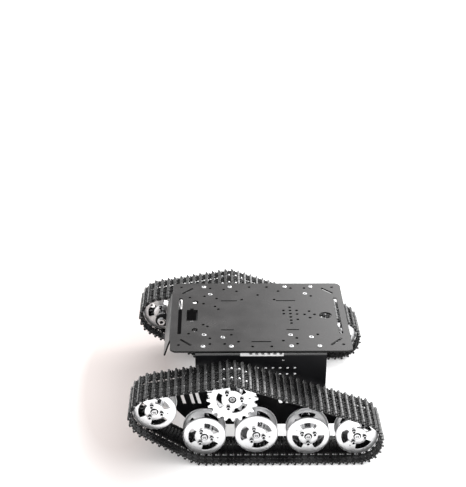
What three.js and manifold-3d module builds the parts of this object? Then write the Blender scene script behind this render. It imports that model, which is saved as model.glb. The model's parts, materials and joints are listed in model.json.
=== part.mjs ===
// Tracked tank chassis for a desktop robot: a folded sheet-metal hull and deck on two link
// tracks, each carried by five twin-disc aluminium wheels and driven by a twin-disc sprocket.
// Millimetres. +X forward, +Y left, +Z up, origin on the ground under the middle of the machine.

import * as THREE from 'three';
import { mergeVertices } from 'three/addons/utils/BufferGeometryUtils.js';
import Module from 'manifold-3d';

const wasm = await Module();
wasm.setup();

// ---------------------------------------------------------------- driving dimensions

const gap = 0.3;                 // clearance between pieces that touch
const sheet = 2;                 // thickness of the hull and deck sheet

// Running gear, seen from the side
const wheelRadius = 24.8;
const linkCount = 77;            // links in one track
const sprocketTeeth = 20;
const plateOuter = 2.6;          // outside of a link's plate above its inner face
const grouserOuter = 4.5;        // crest of a link's grouser above its inner face
const pinDepth = 1.7;            // link pins above the inner face
const loopRadius = wheelRadius + gap;
const groundOffset = loopRadius + grouserOuter;
const roadAxleZ = groundOffset;
const idlerX = 115;
const roadWheelX = 59.1;
const rearIdlerZ = 64;
const middleWheelLift = 2.2;
const sprocketAt = { x: -27.4, z: 79 };

// Running gear, seen from above
const trackCentreY = 114.8;
const trackWidth = 52;
const discFaceOffset = 11.6;     // outer face of a wheel disc from the track's centre plane

// Link details
const grouserBase = 3;
const grouserCrest = 1.8;
const hornHeight = 9;
const hornLength = 6;
const hornWidth = 6;

// Wheel discs
const discPlate = 1.6;
const discDepth = 2.8;
const discRimWall = 1.8;
const discShoulder = 2.2;
const windowInner = 11;
const windowOuter = 17.6;
const windowHalfAngle = 0.62;    // radians
const hubRadius = 10.4;
const boreRadius = 3.3;
const wheelSegments = 15;

// Axles
const axleRadius = 2.9;
const axleCollarRadius = 5.4;
const axleHeadRadius = 5;
const axleHeadHeight = 3;
const nutRadius = 4;
const nutHeight = 1.5;

// Sprockets
const toothTipRadius = 29.4;
const toothRootRadius = 24.9;
const sprocketPlate = 2;
const sprocketFaceOffset = 11;
const sprocketClearance = 0.45;
const shaftRadius = 3;
const couplingRadius = 5;

// Motors
const gearboxRadius = 16.5;
const gearboxLength = 24;
const motorRadius = 15;
const motorLength = 42;
const noseRadius = 6;

// Deck
const deckLength = 210;
const deckWidth = 166.6;
const deckCentreX = 6.4;
const deckTop = 116.7;
const deckCorner = 8;
const flangeWidth = 117;
const flangeDrop = 20;
const flangeReach = 8;

// Hull
const hullHalfWidth = 83.3;
const hullTop = deckTop - sheet - gap;
const hullBend = 4;
const hullUpper = { rear: -69.2, front: 81.1 };
const hullBottom = 17.3;
const rearTipRadius = 8;
const ventWidth = 4;
const ventLow = 45.2;
const ventHigh = 64;
const ventLean = 0.26;           // X per unit of Z, leaning back towards the top
const ventRows = [-82, -71.5, -64.3, 30.1, 38.2, 46.3];
const wallHolePitch = 8.5;

const faceIn = discFaceOffset - discPlate;

// ---------------------------------------------------------------- materials

const finishes = {
  deck: { color: 0x4b4b4d, roughness: 0.45, metalness: 0.6 },
  hull: { color: 0x17171a, roughness: 0.4, metalness: 0.4 },
  aluminium: { color: 0xd9dadb, roughness: 0.28, metalness: 0.95 },
  steel: { color: 0xb9babd, roughness: 0.3, metalness: 0.95 },
  track: { color: 0x1b1b1c, roughness: 0.5, metalness: 0 },
  motor: { color: 0x8f9194, roughness: 0.35, metalness: 0.9 },
  gearbox: { color: 0xc4b48a, roughness: 0.35, metalness: 0.9 },
};

// ---------------------------------------------------------------- solids

function solidOf(geometry) {
  const bare = geometry.clone();
  bare.deleteAttribute('normal');
  bare.deleteAttribute('uv');
  const merged = mergeVertices(bare, 1e-4);
  const vertProperties = new Float32Array(merged.attributes.position.array);
  const triVerts = new Uint32Array(merged.index.array);
  return new wasm.Manifold(new wasm.Mesh({ numProp: 3, vertProperties, triVerts }));
}

function geometryOf(solid) {
  const mesh = solid.getMesh();
  const geometry = new THREE.BufferGeometry();
  geometry.setAttribute('position', new THREE.BufferAttribute(mesh.vertProperties, 3));
  geometry.setIndex(new THREE.BufferAttribute(mesh.triVerts, 1));
  geometry.computeVertexNormals();
  return geometry;
}

// A side view (X, Z) given thickness along Y, from y to y + width.
function sideExtrude(shape, y, width, curveSegments = 6) {
  const geometry = new THREE.ExtrudeGeometry(shape, { depth: width, bevelEnabled: false, curveSegments });
  geometry.rotateX(Math.PI / 2);
  geometry.translate(0, y + width, 0);
  return geometry;
}

// A plan view (X, Y) given thickness along Z, from z to z + height.
function planExtrude(shape, z, height, curveSegments = 4) {
  const geometry = new THREE.ExtrudeGeometry(shape, { depth: height, bevelEnabled: false, curveSegments });
  geometry.translate(0, 0, z);
  return geometry;
}

// A turned piece about an axis along Y; the profile is [radius, y] pairs.
function turned(profile, segments, x = 0, z = 0) {
  const points = profile.map(([radius, y]) => new THREE.Vector2(radius, y));
  const geometry = new THREE.LatheGeometry(points, segments);
  geometry.translate(x, 0, z);
  return geometry;
}

function rodY(radius, from, to, x = 0, z = 0, segments = 16) {
  const geometry = new THREE.CylinderGeometry(radius, radius, to - from, segments);
  geometry.translate(x, (from + to) / 2, z);
  return geometry;
}

function rodZ(radius, x, y, from, to, segments) {
  const geometry = new THREE.CylinderGeometry(radius, radius, to - from, segments);
  geometry.rotateX(Math.PI / 2);
  geometry.translate(x, y, (from + to) / 2);
  return geometry;
}

function block(x, y, z, width, depth, height) {
  const geometry = new THREE.BoxGeometry(width, depth, height);
  geometry.translate(x, y, z);
  return geometry;
}

function cut(solid, geometries) {
  return geometries.reduce((left, geometry) => left.subtract(solidOf(geometry)), solid);
}

function outline(points) {
  return new THREE.Shape(points.map(([x, y]) => new THREE.Vector2(x, y)));
}

// ---------------------------------------------------------------- track path

// The four circles that the track wraps, in the order that it runs: over the sprocket, down
// to the front idler, back along the ground and up to the rear idler.
const wraps = [
  new THREE.Vector2(-idlerX, rearIdlerZ),
  new THREE.Vector2(sprocketAt.x, sprocketAt.z),
  new THREE.Vector2(idlerX, roadAxleZ),
  new THREE.Vector2(-roadWheelX, roadAxleZ),
];

// Straight runs and arcs of the loop at a given distance from the wrapped centres.
function loopPieces(radius) {
  const runs = wraps.map((from, index) => {
    const to = wraps[(index + 1) % wraps.length];
    const along = to.clone().sub(from);
    return { from, to, length: along.length(), heading: Math.atan2(along.y, along.x) };
  });
  return runs.flatMap((run, index) => {
    const next = runs[(index + 1) % runs.length];
    const turn = (run.heading - next.heading + 4 * Math.PI) % (2 * Math.PI);
    const arc = { centre: run.to, start: run.heading + Math.PI / 2, turn, length: turn * radius };
    return [{ ...run }, arc];
  });
}

// Wrapped centre and outward direction at a distance along the loop.
function loopPoint(pieces, radius, distance) {
  let left = distance;
  let index = 0;
  while (left > pieces[index].length) {
    left -= pieces[index].length;
    index += 1;
  }
  const piece = pieces[index];
  if (piece.centre) {
    return { origin: piece.centre, angle: piece.start - left / radius };
  }
  const origin = piece.from.clone().lerp(piece.to, left / piece.length);
  return { origin, angle: piece.heading + Math.PI / 2 };
}

const pinRadius = loopRadius + pinDepth;
const pinPieces = loopPieces(pinRadius);
const loopLength = pinPieces.reduce((sum, piece) => sum + piece.length, 0);
const linkPitch = loopLength / linkCount;

function linkFrame(index) {
  return loopPoint(pinPieces, pinRadius, (index + 0.5) * linkPitch);
}

// A point given along and out from a link's middle, out being measured from the wrapped centre.
function onLink({ origin, angle }, along, out) {
  const x = origin.x + Math.cos(angle) * out + Math.sin(angle) * along;
  const z = origin.y + Math.sin(angle) * out - Math.cos(angle) * along;
  return [x, z];
}

function innerLoop() {
  const path = new THREE.Path();
  for (const piece of loopPieces(loopRadius).filter((each) => each.centre)) {
    const { centre, start, turn } = piece;
    path.absarc(centre.x, centre.y, loopRadius, start, start - turn, true);
  }
  path.closePath();
  return path;
}

// ---------------------------------------------------------------- tracks

function trackGeometry(side) {
  const links = Array.from({ length: linkCount }, (_, index) => linkFrame(index));
  const plate = loopRadius + plateOuter;
  const crest = loopRadius + grouserOuter;
  const teeth = links.flatMap((link) => [
    onLink(link, -grouserBase / 2, plate),
    onLink(link, -grouserCrest / 2, crest),
    onLink(link, grouserCrest / 2, crest),
    onLink(link, grouserBase / 2, plate),
  ]);
  const belt = outline(teeth.reverse());
  belt.holes.push(innerLoop());
  let solid = solidOf(sideExtrude(belt, -trackWidth / 2, trackWidth, 5));
  const horns = links.map((link) => {
    const root = loopRadius + 0.6;
    const horn = outline([
      onLink(link, -hornLength / 2, root),
      onLink(link, 0, loopRadius - hornHeight),
      onLink(link, hornLength / 2, root),
    ]);
    return solidOf(sideExtrude(horn, -hornWidth / 2, hornWidth));
  });
  solid = horns.reduce((whole, horn) => whole.add(horn), solid);
  const slots = [-1, 1].map((end) => {
    const middle = end * (sprocketFaceOffset - sprocketPlate / 2);
    const half = sprocketPlate / 2 + sprocketClearance;
    return rodY(toothTipRadius + sprocketClearance, middle - half, middle + half,
      sprocketAt.x, sprocketAt.z, 32);
  });
  return geometryOf(cut(solid, slots)).translate(0, side * trackCentreY, 0);
}

// ---------------------------------------------------------------- wheels

// Curved window between two radii, cut through along Y.
function arcWindow(angle) {
  const shape = new THREE.Shape();
  shape.absarc(0, 0, windowOuter, angle - windowHalfAngle, angle + windowHalfAngle, false);
  shape.absarc(0, 0, windowInner, angle + windowHalfAngle, angle - windowHalfAngle, true);
  shape.closePath();
  return sideExtrude(shape, -20, 40, 1);
}

// A dished disc whose face is at faceY; outward is the side, +1 or -1, that the face looks to.
function wheelDisc(faceY, outward, windowAngle) {
  const profile = [
    [boreRadius, 0],
    [wheelRadius - discShoulder, 0],
    [wheelRadius, discDepth / 2],
    [wheelRadius, discDepth],
    [wheelRadius - discRimWall, discPlate],
    [boreRadius, discPlate],
    [boreRadius, 0],
  ].map(([radius, depth]) => [radius, -outward * depth]);
  if (outward > 0) {
    profile.reverse();
  }
  const windows = [0, 1, 2].map((index) => arcWindow(windowAngle + (index * 2 * Math.PI) / 3));
  const solid = cut(solidOf(turned(profile, wheelSegments)), windows);
  return geometryOf(solid).translate(0, faceY, 0);
}

// A plain sleeve between two places along Y.
function sleeve(radius, bore, from, to, segments) {
  return turned([[bore, from], [radius, from], [radius, to], [bore, to], [bore, from]], segments);
}

// A fixed axle: a head inside the hull wall, a collar outside it, the journal and an end nut.
function axleGeometry() {
  const wall = hullHalfWidth - trackCentreY;
  const profile = [
    [0, wall - sheet - gap - axleHeadHeight],
    [axleHeadRadius, wall - sheet - gap - axleHeadHeight],
    [axleHeadRadius, wall - sheet - gap],
    [axleRadius, wall - sheet - gap],
    [axleRadius, wall + gap],
    [axleCollarRadius, wall + gap],
    [axleCollarRadius, -discFaceOffset - gap],
    [axleRadius, -discFaceOffset - gap],
    [axleRadius, discFaceOffset + gap],
    [nutRadius, discFaceOffset + gap],
    [nutRadius, discFaceOffset + gap + nutHeight],
    [0, discFaceOffset + gap + nutHeight],
  ];
  return turned(profile, 8);
}

// ---------------------------------------------------------------- sprockets

function sprocketDisc(middleY) {
  // A tooth stands midway between two grousers where the track meets the sprocket.
  const step = (2 * Math.PI) / sprocketTeeth;
  const meeting = pinPieces[0].length;
  const firstGap = Math.ceil(meeting / linkPitch) * linkPitch - meeting;
  const firstTooth = pinPieces[1].start - firstGap / pinRadius;
  const points = [];
  for (let tooth = 0; tooth < sprocketTeeth; tooth += 1) {
    const angle = firstTooth + tooth * step;
    for (const [offset, radius] of [
      [-0.34, toothRootRadius], [-0.13, toothTipRadius], [0.13, toothTipRadius], [0.34, toothRootRadius],
    ]) {
      points.push([radius * Math.cos(angle + offset * step), radius * Math.sin(angle + offset * step)]);
    }
  }
  const solid = solidOf(sideExtrude(outline(points), -sprocketPlate / 2, sprocketPlate));
  const windows = [Math.PI, -Math.PI / 3, Math.PI / 3].map(arcWindow);
  const bore = rodY(boreRadius, -sprocketPlate, sprocketPlate, 0, 0, 12);
  return geometryOf(cut(solid, [...windows, bore])).translate(0, middleY, 0);
}

// The drive shaft with its sprocket hub and the coupling that holds the gearbox's output.
function driveShaftGeometry() {
  const wall = hullHalfWidth - trackCentreY;
  const discInner = sprocketFaceOffset - sprocketPlate;
  const profile = [
    [0, wall - sheet - gap],
    [shaftRadius, wall - sheet - gap],
    [shaftRadius, wall + gap + 1],
    [couplingRadius, wall + gap + 1],
    [couplingRadius, -sprocketFaceOffset - gap],
    [shaftRadius, -sprocketFaceOffset - gap],
    [shaftRadius, -discInner + gap],
    [hubRadius, -discInner + gap],
    [hubRadius, discInner - gap],
    [shaftRadius, discInner - gap],
    [shaftRadius, sprocketFaceOffset + 1],
    [0, sprocketFaceOffset + 1],
  ];
  return turned(profile, 12);
}

// ---------------------------------------------------------------- motors

function gearboxGeometry() {
  const face = hullHalfWidth - sheet - gap - 2 * gap;
  return turned([
    [0, face - gearboxLength],
    [gearboxRadius, face - gearboxLength],
    [gearboxRadius, face - 2],
    [noseRadius, face - 2],
    [noseRadius, face],
    [0, face],
  ], 16);
}

function motorGeometry() {
  const top = hullHalfWidth - sheet - 3 * gap - gearboxLength - gap;
  return turned([
    [0, top - motorLength - 4],
    [4, top - motorLength - 4],
    [4, top - motorLength],
    [motorRadius, top - motorLength],
    [motorRadius, top],
    [0, top],
  ], 16);
}

// ---------------------------------------------------------------- deck plate

function slot(x1, y1, x2, y2, width) {
  const length = Math.hypot(x2 - x1, y2 - y1);
  const geometry = block(0, 0, 0, length, width, 4 * sheet);
  geometry.rotateZ(Math.atan2(y2 - y1, x2 - x1));
  geometry.translate((x1 + x2) / 2, (y1 + y2) / 2, 0);
  return geometry;
}

function deckGeometry() {
  const halfX = deckLength / 2;
  const halfY = deckWidth / 2;
  const corner = deckCorner;
  const shape = new THREE.Shape();
  shape.absarc(halfX - corner, halfY - corner, corner, 0, Math.PI / 2, false);
  shape.absarc(-halfX + corner, halfY - corner, corner, Math.PI / 2, Math.PI, false);
  shape.absarc(-halfX + corner, -halfY + corner, corner, Math.PI, 1.5 * Math.PI, false);
  shape.absarc(halfX - corner, -halfY + corner, corner, 1.5 * Math.PI, 2 * Math.PI, false);
  shape.closePath();
  const thickness = sheet / 2;
  const plate = solidOf(planExtrude(shape, -thickness, sheet));

  const flange = sideExtrude(outline([
    [-halfX, thickness],
    [-halfX - flangeReach, -flangeDrop],
    [-halfX - flangeReach + sheet, -flangeDrop - 0.6],
    [-halfX + sheet, -thickness],
    [-halfX + sheet, thickness],
  ]), -flangeWidth / 2, flangeWidth);

  const cuts = [];
  for (const end of [-1, 1]) {
    cuts.push(slot(end * 95, -44, end * 95, 44, 4));
    for (const side of [-1, 1]) {
      cuts.push(slot(end * 93.5, side * 56, end * 80.5, side * 70, 2.2));
      for (const [x, y] of [[34.5, 73], [67, 73], [59, 53], [42, 53], [95, 71]]) {
        cuts.push(rodZ(1.6, end * x, side * y, -sheet, sheet, 6));
      }
    }
  }
  cuts.push(block(-80.5, 0, 0, 13, 26, 4 * sheet));
  cuts.push(rodZ(7.4, 80, 0, -sheet, sheet, 16));
  cuts.push(rodZ(3.6, -77, 34, -sheet, sheet, 10), rodZ(3.6, -77, -34, -sheet, sheet, 10));
  const solid = cut(plate.add(solidOf(flange)), cuts);
  return geometryOf(solid);
}

// ---------------------------------------------------------------- hull

// Side view of the hull: an upper box with two arms that reach out to the idler axles.
function hullSide() {
  const shape = new THREE.Shape();
  shape.moveTo(hullUpper.rear, hullTop);
  shape.lineTo(hullUpper.rear, 86);
  shape.absarc(-idlerX, rearIdlerZ, rearTipRadius, Math.PI * 0.6, Math.PI * 1.5, false);
  shape.lineTo(-108, rearIdlerZ - rearTipRadius);
  shape.lineTo(-74, hullBottom);
  shape.absarc(idlerX, roadAxleZ, roadAxleZ - hullBottom, -Math.PI / 2, Math.PI * 0.42, false);
  shape.lineTo(hullUpper.front, 66);
  shape.lineTo(hullUpper.front, hullTop);
  shape.closePath();
  return shape;
}

// Section of the folded sheet, an upside-down U seen along X.
function hullSection() {
  const shape = new THREE.Shape();
  const outer = hullHalfWidth;
  const inner = hullHalfWidth - sheet;
  const top = hullTop;
  shape.moveTo(outer, 0);
  shape.absarc(outer - hullBend, top - hullBend, hullBend, 0, Math.PI / 2, false);
  shape.absarc(-outer + hullBend, top - hullBend, hullBend, Math.PI / 2, Math.PI, false);
  shape.lineTo(-outer, 0);
  shape.lineTo(-inner, 0);
  shape.absarc(-outer + hullBend, top - hullBend, hullBend - sheet, Math.PI, Math.PI / 2, true);
  shape.absarc(outer - hullBend, top - hullBend, hullBend - sheet, Math.PI / 2, 0, true);
  shape.lineTo(inner, 0);
  shape.closePath();
  return shape;
}

function hullGeometry() {
  const section = new THREE.ExtrudeGeometry(hullSection(), {
    depth: 300, bevelEnabled: false, curveSegments: 2,
  });
  section.rotateX(Math.PI / 2);
  section.rotateZ(Math.PI / 2);
  section.translate(-150, 0, 0);
  const side = sideExtrude(hullSide(), -100, 200, 3);
  const shell = solidOf(section).intersect(solidOf(side));

  const across = 2 * hullHalfWidth + 10;
  const cuts = axlePlaces.map(({ x, z }) => rodY(boreRadius, -across / 2, across / 2, x, z, 8));
  cuts.push(rodY(noseRadius + gap + 0.2, -across / 2, across / 2, sprocketAt.x, sprocketAt.z, 16));
  for (const foot of ventRows) {
    const head = foot - ventLean * (ventHigh - ventLow);
    cuts.push(sideExtrude(outline([
      [foot - ventWidth / 2, ventLow],
      [foot + ventWidth / 2, ventLow],
      [head + ventWidth / 2, ventHigh],
      [head - ventWidth / 2, ventHigh],
    ]), -across / 2, across));
  }
  for (const side of [-1, 1]) {
    cuts.push(block(6.9, side * hullHalfWidth, hullTop - 1.75, 50.2, 2 * sheet + 1, 4.3));
  }
  for (let column = 0; column < 6; column += 1) {
    for (const [row, height] of [[0, 93.7], [1, 85.6]]) {
      const x = 2.6 + column * wallHolePitch;
      if (row === 0 || column > 1) {
        cuts.push(rodY(1.6, -across / 2, across / 2, x, height, 6));
      }
    }
  }
  return geometryOf(cut(shell, cuts));
}

// ---------------------------------------------------------------- assembly

const axlePlaces = [
  { name: 'rear_idler', x: -idlerX, z: rearIdlerZ, turn: Math.PI },
  { name: 'road_wheel_1', x: -roadWheelX, z: roadAxleZ, turn: Math.PI },
  { name: 'road_wheel_2', x: 0, z: roadAxleZ + middleWheelLift, turn: Math.PI },
  { name: 'road_wheel_3', x: roadWheelX, z: roadAxleZ, turn: Math.PI / 2 },
  { name: 'front_idler', x: idlerX, z: roadAxleZ, turn: Math.PI },
];

const chassis = new THREE.Group();
chassis.name = 'tracked_chassis';

function addPiece(parent, name, geometry, finish) {
  const mesh = new THREE.Mesh(geometry, new THREE.MeshStandardMaterial(finishes[finish]));
  mesh.name = name;
  parent.add(mesh);
  return mesh;
}

// The pieces are modelled for the left side; the right side is their mirror image in Y.
function mirrored(geometry, side) {
  if (side > 0) {
    return geometry;
  }
  const copy = geometry.clone();
  copy.scale(1, -1, 1);
  const index = copy.index.array;
  for (let corner = 0; corner < index.length; corner += 3) {
    [index[corner + 1], index[corner + 2]] = [index[corner + 2], index[corner + 1]];
  }
  copy.computeVertexNormals();
  return copy;
}

addPiece(chassis, 'hull', hullGeometry(), 'hull');
addPiece(chassis, 'deck_plate', deckGeometry(), 'deck').position.set(deckCentreX, 0, deckTop - sheet / 2);

for (const [label, side] of [['left', 1], ['right', -1]]) {
  const group = new THREE.Group();
  chassis.add(group);
  addPiece(group, `${label}_track`, trackGeometry(side), 'track');

  for (const { name, x, z, turn } of axlePlaces) {
    const wheel = new THREE.Group();
    wheel.position.set(x, side * trackCentreY, z);
    group.add(wheel);
    const outer = wheelDisc(discFaceOffset, 1, turn);
    const inner = wheelDisc(-discFaceOffset, -1, turn);
    const hub = sleeve(hubRadius, boreRadius, -faceIn + gap, faceIn - gap, 10);
    addPiece(wheel, `${label}_${name}_outer_disc`, mirrored(outer, side), 'aluminium');
    addPiece(wheel, `${label}_${name}_inner_disc`, mirrored(inner, side), 'aluminium');
    addPiece(wheel, `${label}_${name}_hub`, mirrored(hub, side), 'aluminium');
    addPiece(wheel, `${label}_${name}_axle`, mirrored(axleGeometry(), side), 'steel');
  }

  const drive = new THREE.Group();
  drive.position.set(sprocketAt.x, side * trackCentreY, sprocketAt.z);
  group.add(drive);
  const toothMiddle = sprocketFaceOffset - sprocketPlate / 2;
  addPiece(drive, `${label}_sprocket_outer_disc`, mirrored(sprocketDisc(toothMiddle), side), 'aluminium');
  addPiece(drive, `${label}_sprocket_inner_disc`, mirrored(sprocketDisc(-toothMiddle), side), 'aluminium');
  addPiece(drive, `${label}_drive_shaft`, mirrored(driveShaftGeometry(), side), 'steel');

  const power = new THREE.Group();
  power.position.set(sprocketAt.x, 0, sprocketAt.z);
  group.add(power);
  addPiece(power, `${label}_gearbox`, mirrored(gearboxGeometry(), side), 'gearbox');
  addPiece(power, `${label}_motor`, mirrored(motorGeometry(), side), 'motor');
}

export default chassis;
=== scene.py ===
"""Looks of the tracked tank chassis: sheet deck and hull, twin-disc wheels, link tracks."""
import json
from math import atan2, ceil, cos, hypot, pi, radians, sin, sqrt, tan, tanh

import bmesh
import bpy
from mathutils import Matrix, Vector
from mathutils.geometry import tessellate_polygon


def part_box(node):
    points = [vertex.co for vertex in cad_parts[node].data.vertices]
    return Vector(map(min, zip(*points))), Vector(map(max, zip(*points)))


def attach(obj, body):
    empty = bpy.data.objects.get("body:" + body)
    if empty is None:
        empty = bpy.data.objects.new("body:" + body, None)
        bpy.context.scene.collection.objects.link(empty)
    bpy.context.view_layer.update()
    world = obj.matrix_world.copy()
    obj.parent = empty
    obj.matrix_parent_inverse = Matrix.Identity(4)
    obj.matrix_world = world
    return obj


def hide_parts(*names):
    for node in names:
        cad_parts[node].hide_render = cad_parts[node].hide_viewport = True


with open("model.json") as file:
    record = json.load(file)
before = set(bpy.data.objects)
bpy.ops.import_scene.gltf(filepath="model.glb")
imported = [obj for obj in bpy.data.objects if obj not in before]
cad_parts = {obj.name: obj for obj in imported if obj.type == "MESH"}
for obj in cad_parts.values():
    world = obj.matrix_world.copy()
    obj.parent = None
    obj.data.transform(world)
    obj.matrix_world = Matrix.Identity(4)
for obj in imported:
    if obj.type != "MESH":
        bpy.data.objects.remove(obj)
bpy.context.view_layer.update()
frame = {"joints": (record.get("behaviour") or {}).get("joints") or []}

MM = 0.001
scene = bpy.context.scene
joint_at = {joint["child"]: Vector(joint["pos_m"]) / MM for joint in frame["joints"]}

# ---- dimensions, millimetres

SIDES = {"left": 1, "right": -1}
WHEELS = ("rear_idler", "road_wheel_1", "road_wheel_2", "road_wheel_3", "front_idler")

# Turn of each wheel, in degrees, seen from outside: where the spoke with the small hole points
WHEEL_TURN = {"right": (-10, -5, -10, 150, -120), "left": (75, 20, -62, 105, 38)}

SHEET = 2.0
GAP = 0.3

# Wheels: local Z points outwards from a disc's face
WHEEL_RADIUS = 24.8
DISC_FACE = 11.6
DISC_PLATE = 1.6
DISC_DEPTH = 2.8
WEB_RADIUS = 19.3
WINDOW_INNER, WINDOW_OUTER = 11.1, 18.2
WINDOW_HALF_ANGLE = radians(35)
WINDOW_CORNER = 0.9
BOSS_RADIUS = 10.9
BOSS_HEIGHT = 0.45
BORE = 3.5
BOSS_BORE = 4.5
SCREW_CIRCLE = 8.4
SMALL_HOLE_AT, SMALL_HOLE = 15.2, 0.95

# Sprockets
TEETH = 20
TOOTH_TIP, TOOTH_ROOT = 29.2, 25.0
TOOTH_STEEPNESS = 1.7
SPROCKET_PLATE = 2.0
SPROCKET_FACE = 11.0
SPROCKET_SCREW_CIRCLE, SPROCKET_SCREW_HEIGHT = 10.6, 4.2
SPROCKET_BOSS = 12.0
SPROCKET_BORE = 4.6
SPROCKET_HOLE_AT, SPROCKET_HOLE = 19.4, 1.3
SPROCKET_INNER_WINDOW = (21.9, radians(43))
SPROCKET_TURN = {"right": 5, "left": 50}
SPROCKET_OFFSET = 28  # the inner disc's windows are turned from the outer one's
SHAFT_RADIUS = 3.0
HUB_RADIUS = 10.4

# Tracks
LINKS = 77
LOOP_RADIUS = 25.1
PIN_DEPTH = 1.7
PIN_RADIUS = LOOP_RADIUS + PIN_DEPTH
PIN_AHEAD_OF_FIN = 0.9
TRACK_HALF = 26.0
KNUCKLE_RADIUS = 1.4
KNUCKLE_GAP = 0.16
PLATE_HALF = 2.6
SLOT_EDGES = (8.3, 11.7)
HORN_HEIGHT = 11.6
FIN_FROM = 3.1  # a fin's crest begins this far out
FIN_GROOVES = (-20.4, -10.2, 0.0, 10.2, 20.4)
FIN_GROOVE_WIDTH = 0.7
STUD_ROWS = ((18.6, 0.8), (24.6, 0.7))
# Knuckles across one half of a link: (from, to, which end they are at)
KNUCKLES = ((1.6, -1.6, 1), (1.6, 4.7, -1), (4.7, 8.3, 1), (11.7, 15.2, -1), (15.2, 18.8, 1),
            (18.8, 22.4, -1), (22.4, TRACK_HALF, 1))
# Rows of blocks on a link: from and to along the link, middles across it, half of their width
PAD_ROWS = ((-2.4, -0.7, (2.9, 6.6, 13.2, 16.9, 20.6, 24.4), 1.25),
            (-0.3, 1.2, (0, 4.8, 15.1, 18.8, 22.5), 1.1))

# Hull and deck, in the frame of the whole machine
HULL_HALF = 83.3
WALL_OFFSET = HULL_HALF - 114.8
DECK_X = 6.4
DECK_TOP = 116.7
HULL_TOP = DECK_TOP - SHEET - GAP

# Limits for outlines: the least turn that is rounded, the share of a side that a rounding may take,
# and how far a mitre may run out
NEARLY_STRAIGHT = radians(175)
ROUNDING_SHARE = 0.49
MITRE_LIMIT = 0.4


# ---- flat outlines

def circle(radius, x=0.0, y=0.0, segments=24):
    """A round loop of points."""
    step = 2 * pi / segments
    return [Vector((x + radius * cos(k * step), y + radius * sin(k * step)))
            for k in range(segments)]


def arc(x, y, radius, start, end, segments):
    """Points along an arc, its angles in radians."""
    angles = [start + (end - start) * k / segments for k in range(segments + 1)]
    return [Vector((x + radius * cos(a), y + radius * sin(a))) for a in angles]


def rounded(points, radius, segments=4):
    """A loop with rounded corners: all of them, or those that come as (x, y, True)."""
    corners = [(Vector(p[:2]), len(p) == 2 or p[2]) for p in points]
    loop = []
    for k, (corner, is_marked) in enumerate(corners):
        before = corners[k - 1][0] - corner
        after = corners[(k + 1) % len(corners)][0] - corner
        opening = before.angle(after)
        if not is_marked or opening > NEARLY_STRAIGHT:
            loop.append(corner)
            continue
        reach = min(radius / tan(opening / 2), before.length * ROUNDING_SHARE,
                    after.length * ROUNDING_SHARE)
        start, end = corner + before.normalized() * reach, corner + after.normalized() * reach
        for j in range(segments + 1):
            t = j / segments
            loop.append(start * (1 - t) ** 2 + corner * 2 * t * (1 - t) + end * t ** 2)
    return loop


def rectangle(x, y, length, width, turn=0.0, corner=0.0):
    """A rectangle about (x, y), turned by an angle in radians."""
    along = Vector((cos(turn), sin(turn))) * length / 2
    across = Vector((-sin(turn), cos(turn))) * width / 2
    middle = Vector((x, y))
    points = [middle - along - across, middle + along - across, middle + along + across,
              middle - along + across]
    return rounded(points, corner) if corner else points


def slot(x1, y1, x2, y2, width):
    """A round-ended slot between two points."""
    length = hypot(x2 - x1, y2 - y1)
    turn = atan2(y2 - y1, x2 - x1)
    return rectangle((x1 + x2) / 2, (y1 + y2) / 2, length, width, turn, width * ROUNDING_SHARE)


def hexagon(across_flats):
    """A six-sided loop."""
    return circle(across_flats / sqrt(3), segments=6)


def area(loop):
    """Signed area of a loop."""
    return sum(a.x * b.y - b.x * a.y for a, b in zip(loop, loop[1:] + loop[:1])) / 2


def moved_left(loop, amount):
    """The loop with each side moved to its own left."""
    moved = []
    for k, point in enumerate(loop):
        before = (point - loop[k - 1]).normalized()
        after = (loop[(k + 1) % len(loop)] - point).normalized()
        bisector = Vector((-before.y - after.y, before.x + after.x))
        moved.append(point + bisector * (amount / max(MITRE_LIMIT, 1 + before.dot(after))))
    return moved


def lifted(loop, height):
    """The loop as points at a height."""
    return [(p.x, p.y, height) for p in loop]


def chamfered(radius, low, high, cut=0.2, bore=None):
    """The profile of a cylinder with chamfered edges, or of a collar."""
    outside = ((radius - cut, low), (radius, low + cut), (radius, high - cut), (radius - cut, high))
    return ((bore, low), *outside, (bore, high)) if bore else outside


# ---- solids

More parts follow.
